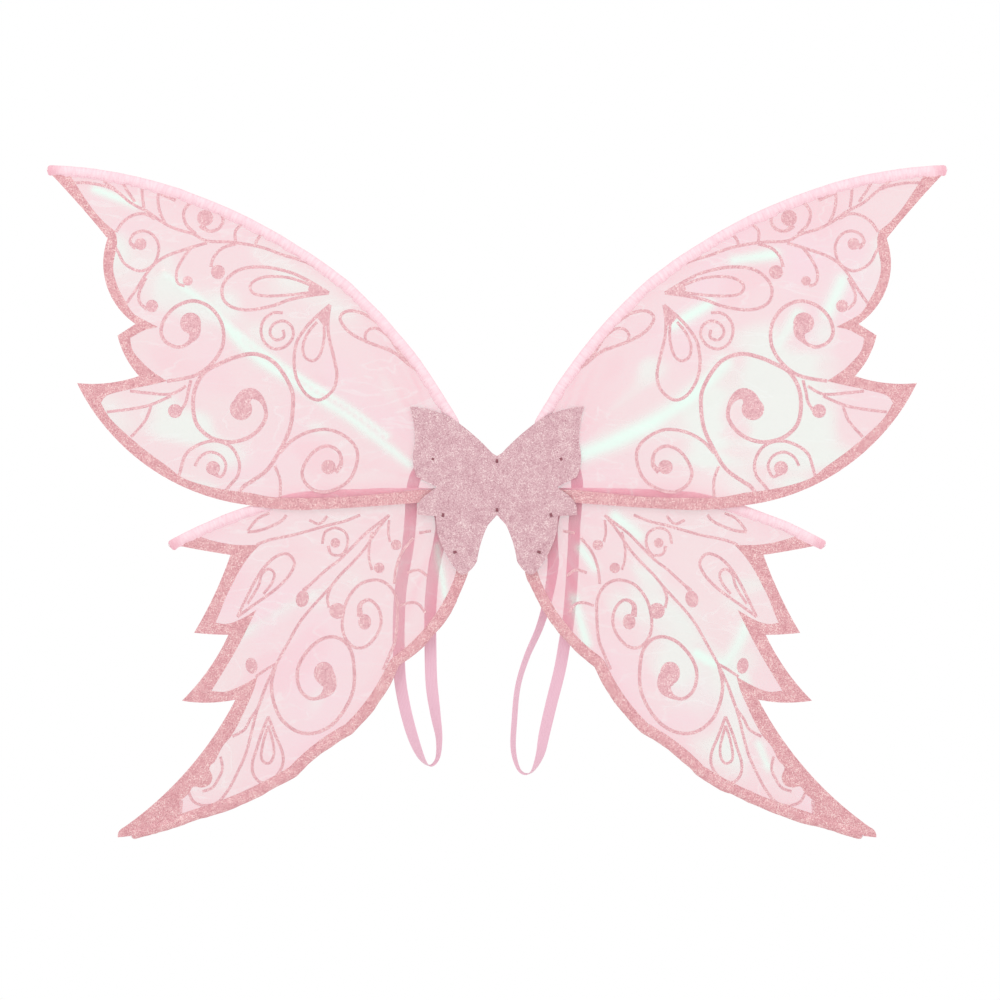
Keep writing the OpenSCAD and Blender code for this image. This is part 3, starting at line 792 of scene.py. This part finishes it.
# Folds that each wing got when it was packed: (points, half width, height), in millimetres. Each streak also
# carries a painted white-mint highlight along its ridge.
streaks = {
    "left_upper": [([(88, 22), (144, 66), (207, 106), (250, 137), (284, 176), (332, 211)], 7, 2.2),
                   ([(110, 50), (150, 80), (212, 118), (262, 155)], 5, 0.8),
                   ([(402, 297), (384, 290), (362, 281)], 6, 1.2)],
    "right_upper": [([(86, 32), (140, 55), (185, 82), (228, 122)], 12, 1.8),
                    ([(176, 160), (212, 182)], 8, 0.8), ([(237, 226), (278, 232)], 8, 0.8),
                    ([(330, 172), (345, 205)], 10, 0.8), ([(280, 140), (300, 172)], 9, 0.8)],
    "left_lower": [([(60, -60), (56, -85), (52, -110)], 5, 0.8)],
    "right_lower": [([(78, -112), (90, -158)], 8, 1.0), ([(84, -62), (98, -82)], 7, 0.6),
                    ([(118, -30), (142, -50)], 8, 0.8), ([(200, -168), (228, -178), (250, -140)], 9, 0.8),
                    ([(262, -258), (272, -282)], 5, 0.5)],
}
fold_root = {"upper": (40, 20), "lower": (45, -15)}
for side, way_out in SIDES.items():
    for wing, (flat, faces, (in_border, in_scroll)) in wing_cut.items():
        depth = upper_y if wing == "upper" else lower_y
        seed = (101 if side == "left" else 151) + (0 if wing == "upper" else 25)
        drawn = streaks[f"{side}_{wing}"]
        fold = lambda x, z: fold_height(x, z, fold_root[wing], seed, drawn)
        x, z = flat.T
        edge_gap = np.min([away_from(flat, line) for line in casing_lines[wing]], axis=0)
        held = eased(edge_gap, 6, 40) * eased(x, patch_reach, 140)
        height = -fold(x, z) * held
        slope = (fold(x + 3, z + 4) - fold(x - 3, z - 4)) / 10
        turn, reach = np.arctan2(z, x - 40), np.hypot(x - 40, z)
        # The cloud is random tint plus the fold's slope towards up and out: where it is high, sheen is
        # painted; where it is low, shade is painted.
        cloud = noise(turn * 5 + 30, reach / 130, seed + 8) + 0.6 * noise(x / 30, z / 30, seed + 9)
        cloud += 2.0 * slope - 0.15
        cloud -= 0.3 if (side, wing) == ("left", "lower") else 0
        # Painted sheen: white and mint on slopes that face up and out, standing in for reflections on the
        # folds.
        painted_sheen = 0.6 * eased(cloud, 0.1, 0.95) * (0.35 + 0.65 * eased(edge_gap, 5, 35))
        painted_sheen *= eased(x, patch_reach, 125)
        glint = 0 * x
        # Painted highlight: a white-mint glint along each drawn fold streak, with less deep pink under it.
        for points, wide, _ in drawn:
            glint = np.maximum(glint, np.exp(-((away_from(flat, curve(points, 12)) / (0.8 * wide)) ** 2)))
        painted_sheen = np.maximum(painted_sheen, glint * (0.95 + 0.25 * noise(x / 30, z / 30, seed + 7)))
        pleats = 0.5 + 0.5 * noise(turn * 26 + 60, x / 80, seed + 5)
        gather = np.exp(-np.clip(x - patch_reach, 0, 400) / 26) * pleats * 0.8
        gather = np.maximum(gather, 0.5 * np.exp(-((edge_gap / 14) ** 2)))
        # Painted shade: deeper pink where the cloud is low, on fold slopes that face away.
        gather = np.maximum(gather, 0.35 * eased(-cloud, 0.5, 1.1))
        if wing == "upper":
            # Painted light: a deeper pink band over the middle casing stands in for the lit casing seen
            # through the film.
            over_casing = np.exp(-((away_from(flat, middle_line) / 10) ** 2))
            gather = np.maximum(gather, 0.7 * over_casing * eased(-x, -260, -215))
        gather *= 1 - 0.85 * glint
        lie = (height, depth, way_out)
        sheet, used = wing_piece(f"{side}_{wing}_wing_film", flat, faces, *lie, film_gauge, film)
        tinted(sheet, "painted_sheen", painted_sheen[used])
        tinted(sheet, "gather", gather[used])
        border, _ = wing_piece(
            f"{side}_{wing}_border_print", flat, faces[in_border], *lie, print_gauge, border_print)
        in_scroll = in_scroll & ~in_border
        scrolls, _ = wing_piece(
            f"{side}_{wing}_scroll_print", flat, faces[in_scroll], *lie, print_gauge, scroll_print)
        flat_area(flat, faces) * mm * mm
        sheet.visible_shadow = False
        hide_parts(f"{side}_{wing}_film")
        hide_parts(f"{side}_{wing}_glitter")
        for piece in (sheet, border, scrolls):
            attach(piece, f"{side}_wing")


# ---- Seams of the casings ----
# A running stitch in matching pink thread along each casing's flange, front and back.
def sewing_thread(name, dark, pale):
    """Twisted polyester thread: its plies show as fine slanting bands."""
    thread = finish_of(name, Sheen_Weight=0.3)
    plies = grain_on(thread, 3000.0)
    feed(thread, "Base Color", ramp(thread, plies, [(0.3, dark), (0.7, pale)]))
    roughened(thread, 0.5, 0.7, 0.001)
    bumped(thread, plies, 0.00005)
    return thread


def stitch_run(name, line, y, side, pitch, material):
    """A running stitch: one small closed spindle for each stitch, laid along the line. A spindle is
    two thirds of the pitch long. Its rings are thin at both ends and full for the middle half."""
    places = evenly(line, pitch)
    way = headings(places)
    count, sides = len(places), 5
    share = np.array([0.0, 0.25, 0.75, 1.0])
    reach = (share - 0.5) * pitch * 0.66
    girth = np.array([0.06, 0.24, 0.24, 0.06])
    turn = np.arange(sides) / sides * 2 * np.pi
    way_x, way_z = way.T[:, :, None, None]
    place_x, place_z = places.T[:, :, None, None]
    x = place_x + way_x * reach[:, None] - way_z * girth[:, None] * np.cos(turn)
    z = place_z + way_z * reach[:, None] + way_x * girth[:, None] * np.cos(turn)
    depth = y + girth[:, None] * np.sin(turn) + 0 * x
    points = np.stack([side * x, depth, z], -1).reshape(-1, 3)
    _, _, one = ring_cells(4, sides)
    cap = np.stack([np.arange(sides), np.arange(sides)[::-1] + 3 * sides])
    skip = (np.arange(count) * 4 * sides)[:, None, None]
    quads, caps = (one + skip).reshape(-1, 4), (cap + skip).reshape(-1, sides)
    corner = points[quads[: len(one)]]
    middle = points[: 4 * sides].mean(0)
    outward = np.einsum("ij,ij->", np.cross(corner[:, 1] - corner[:, 0], corner[:, 2] - corner[:, 0]),
                        corner[:, 0] - middle)
    if outward < 0:
        quads = quads[:, ::-1]
    first = points[caps[0]]
    if np.dot(np.cross(first[1] - first[0], first[2] - first[0]), first[0] - middle) < 0:
        caps = caps[:, ::-1]
    return build(name, points * mm, [quads, caps], material=material)


seam_thread = sewing_thread("pink thread", swatch(232, 172, 186), swatch(247, 204, 214))
seam_pitch = 3.4
seam_inset = 0.9
for side, way_out in SIDES.items():
    for name, (edge, depth, _) in covered.items():
        line = evenly(moved_in(arcs(edge), sleeve_width + seam_inset), seam_pitch)[3:-3]
        for face, lift in (("front", -0.75), ("back", 0.75)):
            seam = stitch_run(
                f"{side}_{name}_seam_{face}", line, depth + lift, way_out, seam_pitch, seam_thread)
            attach(seam, f"{side}_wing")


# ---- Bindings and card ----
# Cloth-backed tape wound round the three wires' roots on each side, and a plain card in the
# middle of the patch that keeps its two layers flat.
def wound_tape():
    """White tape: its turns show as steps every few millimetres, over a fine cloth backing."""
    tape = finish_of("binding tape")
    turns = add(tape, "TexWave", {"Vector": place_on(tape), "Scale": 42.0, "Distortion": 1.2},
                bands_direction="Z", wave_profile="SAW")
    feed(tape, "Base Color", ramp(tape, grain_on(tape, 1500.0), [
        (0.3, swatch(226, 214, 210)), (0.7, swatch(243, 235, 231))]))
    roughened(tape, 0.6, 0.8, 0.002)
    bumped(tape, turns.outputs["Fac"], 0.0004)
    return tape


def grey_card():
    """Uncoated card with short fibres in it."""
    card = finish_of("card")
    fibre = grain_on(card, 900.0, 6.0, 1.5)
    feed(card, "Base Color", ramp(card, fibre, [(0.3, swatch(219, 205, 202)), (0.7, swatch(240, 230, 227))]))
    roughened(card, 0.75, 0.95, 0.002)
    bumped(card, fibre, 0.0001)
    return card


tape = wound_tape()
for side in SIDES:
    dress(f"{side}_wire_binding", tape)
dress("centre_stiffener", grey_card())

# ---- Patch ----
# Two butterfly-shaped layers of glitter-faced cloth, front and back, with raw cut edges. They are
# tacked through the film and casings. The real layers bend along the two fold lines; here each half is a
# fixed piece.
patch_gauge = 1.0
patch_edge = [
    (0, -29, 0), (9, -39, -1.5), (20, -75, 1), (30, -87, 1.5), (38, -87, 3), (60, -44, 0), (61, -30, 0),
    (80, -29, 3), (71, -9, 0), (60, -1, 0), (80, 9, 3), (82, 42, -1.5), (87, 79.5, 2.5), (44, 67, 1.5),
    (5, 33, 0), (0, 30, 0)
]
# The last, near-white stop is a painted sparkle on the palest flakes; the other stops are the glitter's own
# tones.
patch_cloth = glitter("rose glitter cloth", [
    (0.03, swatch(184, 132, 143)), (0.25, swatch(205, 160, 169)), (0.5, swatch(213, 170, 178)),
    (0.78, swatch(221, 182, 188)), (0.97, swatch(244, 220, 219))], flake_size, 0.4, 0.1)
front_y = middle_depth("front_patch_centre")
back_y = middle_depth("back_patch_centre")
patch_outline = evenly(arcs(patch_edge, 10), 1.6)
flat, faces, _ = cut_sheet(patch_outline, [], 2.4)
rim = patch_outline[patch_outline[:, 0] > 0.5]
x, z = flat.T
rim_gap = away_from(flat, rim)
clear = np.min([away_from(flat, line) for lines in casing_lines.values() for line in lines], axis=0)
pinch = eased(12 - rim_gap, 0, 12) * eased(clear, 5, 15)
for side, way_out in SIDES.items():
    for face, depth, sign, seed in (("front", front_y, 1, 7), ("back", back_y, -1, 17)):
        ripple = 0.35 * noise(x / 16, z / 16, seed + way_out) * eased(x, 1, 22)
        curl = eased(5 - rim_gap, 0, 5) * np.clip(noise(x / 13 + 7, z / 13 + 7, seed + way_out + 3), 0, 1)
        height = sign * (1.4 * pinch - 0.9 * curl * eased(x, 40, 60)) + ripple * sign
        height = np.maximum(height, -0.4) if sign > 0 else np.minimum(height, 0.15)
        half, _ = wing_piece(
            f"{side}_{face}_patch_half", flat, faces, height, depth, way_out, patch_gauge, patch_cloth)
        flat_area(flat, faces) * mm * mm
        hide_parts(f"{side}_{face}_patch", f"{face}_patch_centre")
        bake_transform(half)

# ---- Tacks ----
# Short bars of dark thread, six turns side by side, that hold the layers together: two on the
# centre line and three on each lobe, on the front and on the back.
tacks = {"centre": [(0, 25, 90), (0, -24, 90)], "side": [(64, 27, 60), (54, -29, 75), (42, -66, 20)]}
tack_length = 4.0
tack_pitch = 0.42
wine_thread = sewing_thread("wine thread", swatch(128, 66, 78), swatch(168, 98, 110))


def tack_threads(name, places, side):
    """Tack bars: each turn of thread is a small tube over a half-sine arch 4 mm long, and six lie
    0.42 mm apart, on the front face and, upside down, on the back."""
    share = np.linspace(0, 1, 9)
    through = np.tile([0.0, 1.0, 0.0], (9, 1))
    a = np.arange(6) / 6 * 2 * np.pi
    ring = np.array([0.1, *[0.24] * 7, 0.1])[:, None] * mm
    pieces = []
    for px, pz, lean in places:
        c, s = np.cos(np.radians(lean)), -np.sin(np.radians(lean))
        across = np.tile([side * -s, 0.0, c], (9, 1))
        for turn in range(6):
            aside = (turn - 2.5) * tack_pitch
            long = (share - 0.5) * (tack_length - 0.3 * (turn % 2))
            line_x, line_z = px + c * long - s * aside, pz + s * long + c * aside
            for base, out in ((front_y - patch_gauge / 2, -1), (back_y + patch_gauge / 2, 1)):
                lift = base + out * (0.42 * np.sin(np.pi * share) - 0.15)
                centre = np.stack([side * line_x, lift, line_z], 1)
                pieces.append(swept(centre * mm, across, through, ring * np.cos(a), ring * np.sin(a)))
    counts = np.cumsum([0] + [len(points) for points, _, _ in pieces])
    points = np.vstack([points for points, _, _ in pieces])
    quads = np.vstack([polygons[0] + skip for (_, polygons, _), skip in zip(pieces, counts)])
    tris = np.vstack([polygons[1] + skip for (_, polygons, _), skip in zip(pieces, counts)])
    return build(name, points, [quads, tris], material=wine_thread)


centre_tacks = tack_threads("centre_tacks", tacks["centre"], 1)
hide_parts("centre_stitches")
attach(centre_tacks, "spine")
for side, way_out in SIDES.items():
    lobe_tacks = tack_threads(f"{side}_lobe_tacks", tacks["side"], way_out)
    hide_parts(f"{side}_patch_stitches")
    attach(lobe_tacks, f"{side}_wing")

# ---- Arm loops ----
# One length of flat ribbed elastic on each side, 12 mm wide. Both ends are sewn flat to the rear
# layer of the patch, and the loop hangs free between them. Routes are (out, back, up, twist).
strap_width = 12.0
strap_gauge = 1.1
loop_routes = {
    "left": [
        (71.8, 7.2, 46.8, 0), (70.5, 7.2, 40, 0), (72, 7.4, 31, 0), (76.5, 7.6, 20, 0), (83, 8, 7, 0),
        (86, 8, -10, 0), (87, 8.2, -32, 0), (90, 8.5, -62, 0), (97, 9, -104, 0), (99, 9, -145, 0),
        (98, 9, -190, 0), (93, 9.5, -222, 10), (85, 10.5, -252, 25), (76, 12, -274, 55),
        (67.5, 13, -282, 90), (60, 12.5, -274, 110), (58.5, 11, -254, 125), (62, 10, -230, 150),
        (66, 9, -198, 180), (67, 8.5, -160, 180), (67, 8.5, -122, 180), (64, 8, -86, 180),
        (58.5, 7.6, -58, 180), (56, 7.3, -43, 180), (56.5, 7.2, -34.5, 180), (57.8, 7.2, -27.2, 180)],
    "right": [
        (71.8, 7.2, 46.8, 0), (70.5, 7.2, 40, 0), (72, 7.4, 31, 0), (76.5, 7.6, 20, 0), (80.5, 8, 5, 0),
        (80, 8, -14, 0), (78, 8.2, -38, 0), (77, 8.5, -66, 0), (73, 9, -125, 0), (68, 9, -158, 0),
        (63, 9, -186, 0), (55, 9.5, -218, 10), (48, 10.5, -248, 20), (43, 12, -272, 45),
        (34, 13, -289, 80), (23, 13, -287, 100), (16.5, 11.5, -266, 115), (17.5, 11, -236, 118),
        (21, 11, -202, 118), (30, 11, -172, 122), (43, 10.5, -142, 130), (51.5, 10, -112, 140),
        (56.5, 9, -80, 160), (55.4, 8.2, -58, 174), (55.2, 7.4, -43, 180), (56.4, 7.2, -34.5, 180),
        (57.8, 7.2, -27.2, 180)],
}
# The points that each loop swings about, and the lean of the line between them
sewn_feet = {"top": (72, 48), "foot": (58, -26)}
lean = np.array([14.0, 74.0]) / np.hypot(14, 74)


def sewn_end(foot, reach):
    """The end of the elastic above a hinge point: reach is (distance up the lean, depth) pairs."""
    return [(foot[0] + lean[0] * up, depth, foot[1] + lean[1] * up) for up, depth in reach]


def elastic_band(name, route, side, material):
    """A ribbed band along a route: a rounded flat section whose thickness dips between five ribs,
    turned about its own line by the twist. Returns the piece and its length in metres."""
    tab = [(22, 0.75), (18, 0.75), (14, 0.75), (11, 1.5), (7.5, 4.4), (4, 6.7), (1.2, 7.2)]
    top = [(*p, 0) for p in sewn_end(sewn_feet["top"], tab)]
    foot = [(*p, 180) for p in sewn_end(sewn_feet["foot"], tab[::-1])]
    fine = smoothed(top + route + foot)
    run = run_along(fine[:, :3])
    stops = np.linspace(0, run[-1], int(run[-1] / 2.2))
    fine = np.stack([np.interp(stops, run, column) for column in fine.T], 1)
    way = headings(fine[:, :3])
    left = left_of(fine[:, [0, 2]])
    aside = np.stack([left[:, 0], 0 * stops, left[:, 1]], 1)
    twist = np.radians(fine[:, 3])[:, None]
    across = np.cos(twist) * aside + np.sin(twist) * np.array([0.0, 1.0, 0.0])
    across -= way * np.einsum("ij,ij->i", across, way)[:, None]
    across /= np.linalg.norm(across, axis=1)[:, None]
    through = np.cross(way, across)
    face = np.linspace(-1, 1, 21)
    rib = 0.86 + 0.14 * np.cos(face * 5 * np.pi)
    edge = np.sqrt(np.clip(1 - np.abs(face) ** 8, 0.09, 1))
    wide = np.r_[face, face[::-1]] * strap_width / 2
    deep = np.r_[rib * edge, -(rib * edge)[::-1]] * strap_gauge / 2
    mirror = np.array([side, 1.0, 1.0])
    points, polygons, uv = swept(
        fine[:, :3] * mirror * mm, across * mirror, through * mirror,
        np.tile(wide * mm, (len(stops), 1)), np.tile(deep * mm, (len(stops), 1)))
    return build(name, points, polygons, uv, material, crease=60), float(run[-1]) * mm


def ribbed_elastic():
    """Woven pink elastic: ribs of warp along it, fine weft across it, and a soft sheen."""
    elastic = finish_of("pink elastic", Sheen_Weight=0.35, Sheen_Roughness=0.35, Specular_IOR_Level=0.3)
    run = add(elastic, "UVMap", uv_map="run").outputs["UV"]
    warp = add(elastic, "TexWave", {"Vector": run, "Scale": 210.0}, bands_direction="X")
    weft = add(elastic, "TexWave", {"Vector": run, "Scale": 330.0, "Distortion": 0.4}, bands_direction="Y")
    lie = sums(elastic, "MULTIPLY", warp.outputs["Fac"], weft.outputs["Fac"])
    feed(elastic, "Base Color", ramp(elastic, lie, [
        (0.1, swatch(234, 184, 202)), (0.6, swatch(243, 201, 216)), (0.95, swatch(249, 217, 228))]))
    roughened(elastic, 0.5, 0.68, 0.003)
    bumped(elastic, lie, 0.00022, 0.9)
    return elastic


elastic = ribbed_elastic()
for side, way_out in SIDES.items():
    strap, length = elastic_band(f"{side}_elastic_loop", loop_routes[side], way_out, elastic)
    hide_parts(f"{side}_arm_loop", f"{side}_strap_ends")
    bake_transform(strap)


# ---- Sewing on the elastic ----
# Each sewn end has a small box of stitches with a cross in it, through the elastic and the patch.
box_pitch = 1.7
box_depth = 1.32


def box_stitch(name, foot, side):
    """A rectangle and its two diagonals in running stitch, on the lean of the elastic's end."""
    low, high, half = 13.4, 20.6, 4.4
    up = lambda a, u: (foot[0] + lean[0] * u - lean[1] * a, foot[1] + lean[1] * u + lean[0] * a)
    corners = [up(-half, low), up(half, low), up(half, high), up(-half, high), up(-half, low),
               up(half, high), up(half, low), up(-half, high)]
    return stitch_run(name, evenly(np.array(corners), box_pitch), box_depth, side, box_pitch, seam_thread)


for side, way_out in SIDES.items():
    for end, foot in sewn_feet.items():
        box = box_stitch(f"{side}_{end}_box_stitch", foot, way_out)
        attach(box, f"{side}_wing")

# ---- Floor, light and camera ----
# A pale round floor well below the wings, an even white studio, and two soft boxes.
floor_radius = 1.2
floor_drop = 0.45


def pale_floor():
    """A flat disc: rings of points at r x (cos a, sin a), closed by a fan in the middle."""
    turn = np.arange(64) / 64 * 2 * np.pi
    radii = np.array([0.3, 0.7, 1.0])[:, None] * floor_radius
    height = np.full((3, 64), cad_box[0].z - floor_drop)
    ring = np.stack([radii * np.cos(turn), radii * np.sin(turn), height], -1).reshape(-1, 3)
    points = np.vstack([ring, [[0, 0, height[0, 0]]]])
    quads = ring_cells(3, 64)[2][:, ::-1]
    s = np.arange(64)
    fan = np.stack([s, (s + 1) % 64, np.full(64, len(points) - 1)], 1)
    ground = finish_of("pale floor", Roughness=0.8, Specular_IOR_Level=0.2)
    feed(ground, "Base Color", ramp(ground, grain_on(ground, 40.0, 4.0), [
        (0.3, swatch(240, 239, 238)), (0.7, swatch(245, 244, 243))]))
    return build("floor", points, [quads, fan], material=ground)


pale_floor()
world = bpy.data.worlds.new("white studio")
bpy.context.scene.world = world
world.use_nodes = True
world.node_tree.nodes["Background"].inputs["Color"].default_value = (1, 1, 1, 1)
world.node_tree.nodes["Background"].inputs["Strength"].default_value = 1.0


def soft_box(name, place, aim, across, power):
    """A square area light at place, turned to face aim."""
    lamp = bpy.data.lights.new(name, "AREA")
    lamp.size, lamp.energy = across, power
    held = bpy.data.objects.new(name, lamp)
    held.location = place
    held.rotation_euler = (Vector(aim) - Vector(place)).to_track_quat("-Z", "Y").to_euler()
    bpy.context.scene.collection.objects.link(held)


soft_box("key box", (-0.9, -1.7, 1.3), (0, 0, 0), 0.9, 5.0)
soft_box("side box", (1.6, -1.0, 0.5), (0, 0, 0), 0.7, 2.5)

lens, sensor, stand_off = 90.0, 36.0, 2.5
camera = bpy.data.cameras.new("camera")
camera.lens, camera.sensor_width = lens, sensor
camera_stand = bpy.data.objects.new("camera", camera)
camera_stand.location = (3 * mm, upper_y * mm - stand_off, -14 * mm)
camera_stand.rotation_euler = (np.pi / 2, 0, 0)
bpy.context.scene.collection.objects.link(camera_stand)
bpy.context.scene.camera = camera_stand
bpy.context.scene.view_settings.view_transform = "Standard"
bpy.context.scene.cycles.transparent_max_bounces = 48
